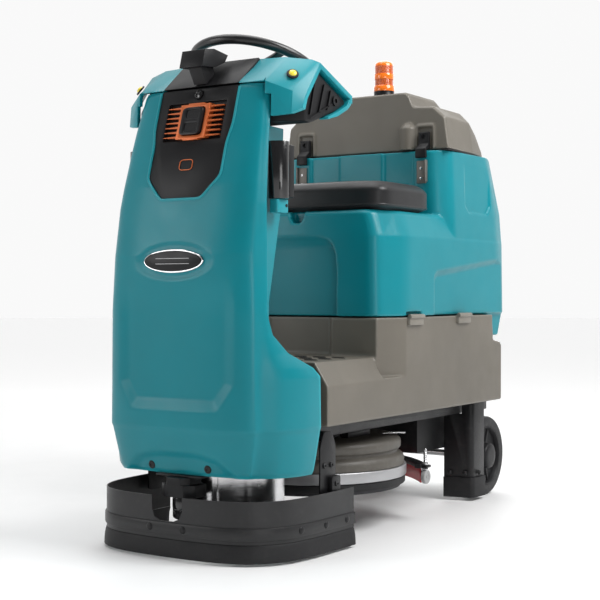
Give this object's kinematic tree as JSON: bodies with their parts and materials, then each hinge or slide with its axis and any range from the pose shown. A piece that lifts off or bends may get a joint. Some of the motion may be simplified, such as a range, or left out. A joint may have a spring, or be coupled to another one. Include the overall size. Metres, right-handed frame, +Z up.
{
  "type": "ride-on floor scrubber",
  "caption": "Compact ride-on floor scrubber with steered front drive wheel, lifting scrub deck and squeegee, tip-up tank with seat, hinged lid and sensor tower.",
  "frame": {"origin": "on the floor, under the middle of the bounding box", "axes": "+X to the machine's left, +Y towards its rear, +Z up; it drives towards -Y"},
  "size_m": [0.615, 1.4816, 1.3646],
  "materials": {
    "teal_plastic": "semi-gloss moulded",
    "taupe_plastic": "fine-textured moulded",
    "charcoal_plastic": "satin moulded",
    "black_plastic": "satin moulded",
    "wheel_grip": "soft satin",
    "skirt_plastic": "satin sheet",
    "black_steel": "satin powder coat",
    "black_rubber": "matt",
    "tyre_rubber": "matt",
    "seat_vinyl": "soft sheen",
    "orange_aluminium": "anodised satin",
    "amber_lens": "glossy ribbed",
    "yellow_lens": "glossy",
    "bright_steel": "rolled sheet",
    "badge_chrome": "polished",
    "band_aluminium": "satin",
    "deck_metal": "satin paint",
    "brush_nylon": "fibrous",
    "red_rubber": "satin",
    "grey_plastic": "satin",
    "red_plastic": "glossy",
    "green_plastic": "glossy",
    "key_steel": "satin",
    "screen_glass": "glossy dark"
  },
  "bodies": {
    "chassis": {"chassis_frame": "black_steel", "base_body": "taupe_plastic", "front_cover": "teal_plastic", "sensor_panel": "charcoal_plastic", "heat_sink": "orange_aluminium", "stereo_camera": "black_plastic", "tower_rear_cover": "teal_plastic", "tower_frame": "black_steel", "side_sensor_left": "charcoal_plastic", "side_sensor_right": "charcoal_plastic", "console_cover": "teal_plastic", "console_strip": "charcoal_plastic", "console_housing": "charcoal_plastic", "sensor_hood": "charcoal_plastic", "marker_light_left": "yellow_lens", "marker_light_right": "yellow_lens", "display_screen": "screen_glass", "badge_plate": "badge_chrome", "skirt_panel": "skirt_plastic", "skirt_band": "skirt_plastic", "skirt_rubber": "black_rubber", "skirt_bracket_left": "black_steel", "skirt_bracket_right": "black_steel", "scanner": "black_plastic", "wheel_shroud": "bright_steel", "rear_axle": "bright_steel", "wheel_guard_left": "black_steel", "wheel_guard_right": "black_steel", "lift_actuator": "black_steel", "battery_left": "black_plastic", "battery_right": "black_plastic"},
    "steering": {"steering_wheel": "wheel_grip"},
    "fork": {"steer_fork": "black_steel"},
    "drive": {"drive_wheel": "tyre_rubber"},
    "wheel_left": {"rear_wheel_left": "tyre_rubber"},
    "wheel_right": {"rear_wheel_right": "tyre_rubber"},
    "deck": {"deck_housing": "deck_metal", "deck_band": "band_aluminium", "splash_skirt": "black_rubber", "brush_motor": "black_steel", "lift_rod": "bright_steel"},
    "brush": {"scrub_brush": "brush_nylon"},
    "squeegee": {"squeegee_frame": "black_steel", "squeegee_blade": "red_rubber"},
    "roller_left": {"squeegee_roller_left": "grey_plastic"},
    "roller_right": {"squeegee_roller_right": "grey_plastic"},
    "tank_unit": {"tank": "teal_plastic", "seat_cushion": "seat_vinyl", "vacuum_motor": "charcoal_plastic", "drain_hose": "black_rubber"},
    "cap": {"fill_cap": "black_plastic"},
    "lid_unit": {"lid": "taupe_plastic", "beacon": "amber_lens"},
    "strap_left": {"latch_left": "black_rubber"},
    "strap_right": {"latch_right": "black_rubber"},
    "stop_button": {"emergency_stop": "red_plastic"},
    "start": {"start_button": "green_plastic"},
    "key": {"ignition_key": "key_steel"},
    "dial": {"speed_dial": "grey_plastic"},
    "pedal": {"drive_pedal": "black_rubber"}
  },
  "joints": [
    {"name": "steering_turn", "type": "hinge", "parent": "chassis", "child": "steering", "pos_m": [0, -0.36, 1.237], "axis": [0, 0.342, 0.9397], "range_deg": [-150, 150]},
    {"name": "fork_steer", "type": "hinge", "parent": "chassis", "child": "fork", "pos_m": [0, -0.478, 0.25], "axis": [0, 0, 1], "range_deg": [-75, 75]},
    {"name": "drive_spin", "type": "hinge", "parent": "fork", "child": "drive", "pos_m": [0, -0.478, 0.105], "axis": [1, 0, 0], "continuous": true},
    {"name": "rear_left_spin", "type": "hinge", "parent": "chassis", "child": "wheel_left", "pos_m": [0.194, 0.6158, 0.125], "axis": [1, 0, 0], "continuous": true},
    {"name": "rear_right_spin", "type": "hinge", "parent": "chassis", "child": "wheel_right", "pos_m": [-0.194, 0.6158, 0.125], "axis": [1, 0, 0], "continuous": true},
    {"name": "deck_lift", "type": "slide", "parent": "chassis", "child": "deck", "axis": [0, 0, -1], "range_m": [0, 0.1]},
    {"name": "brush_spin", "type": "hinge", "parent": "deck", "child": "brush", "pos_m": [0, -0.088, 0.12], "axis": [0, 0, 1], "continuous": true},
    {"name": "squeegee_lift", "type": "slide", "parent": "chassis", "child": "squeegee", "axis": [0, 0, -1], "range_m": [0, 0.1]},
    {"name": "roller_left_spin", "type": "hinge", "parent": "squeegee", "child": "roller_left", "pos_m": [0.279, 0.078, 0.1255], "axis": [1, 0, 0], "continuous": true},
    {"name": "roller_right_spin", "type": "hinge", "parent": "squeegee", "child": "roller_right", "pos_m": [-0.279, 0.078, 0.1255], "axis": [1, 0, 0], "continuous": true},
    {"name": "tank_tilt", "type": "hinge", "parent": "chassis", "child": "tank_unit", "pos_m": [0.297, 0.14, 0.58], "axis": [0, 1, 0], "range_deg": [0, 55]},
    {"name": "fill_cap_turn", "type": "hinge", "parent": "tank_unit", "child": "cap", "pos_m": [-0.16, 0.648, 0.66], "axis": [0, 1, 0], "range_deg": [0, 90]},
    {"name": "lid_open", "type": "hinge", "parent": "tank_unit", "child": "lid_unit", "pos_m": [0, 0.566, 1.064], "axis": [-1, 0, 0], "range_deg": [0, 75]},
    {"name": "latch_left_open", "type": "hinge", "parent": "tank_unit", "child": "strap_left", "pos_m": [0.208, 0.183, 1.044], "axis": [1, 0, 0], "range_deg": [0, 100]},
    {"name": "latch_right_open", "type": "hinge", "parent": "tank_unit", "child": "strap_right", "pos_m": [-0.208, 0.183, 1.044], "axis": [1, 0, 0], "range_deg": [0, 100]},
    {"name": "emergency_stop_press", "type": "slide", "parent": "chassis", "child": "stop_button", "axis": [0, -0.3778, -0.9259], "range_m": [0, 0.004], "stiffness_N_per_m": 500, "springref_m": -0.002},
    {"name": "start_press", "type": "slide", "parent": "chassis", "child": "start", "axis": [0, -0.3778, -0.9259], "range_m": [0, 0.003], "stiffness_N_per_m": 300, "springref_m": -0.002},
    {"name": "key_turn", "type": "hinge", "parent": "chassis", "child": "key", "pos_m": [0.21, -0.44, 1.20779], "axis": [0, 0.3778, 0.9259], "range_deg": [0, 90]},
    {"name": "dial_turn", "type": "hinge", "parent": "chassis", "child": "dial", "pos_m": [-0.13, -0.47, 1.22003], "axis": [0, 0.3778, 0.9259], "range_deg": [-135, 135]},
    {"name": "pedal_press", "type": "hinge", "parent": "chassis", "child": "pedal", "pos_m": [-0.11, -0.42, 0.482], "axis": [1, 0, 0], "range_deg": [0, 12], "stiffness_Nm_per_rad": 6, "springref_deg": -6.88}
  ],
  "couplings": [
    {"joint": "steering_turn", "follows": "fork_steer", "ratio": 2}
  ]
}
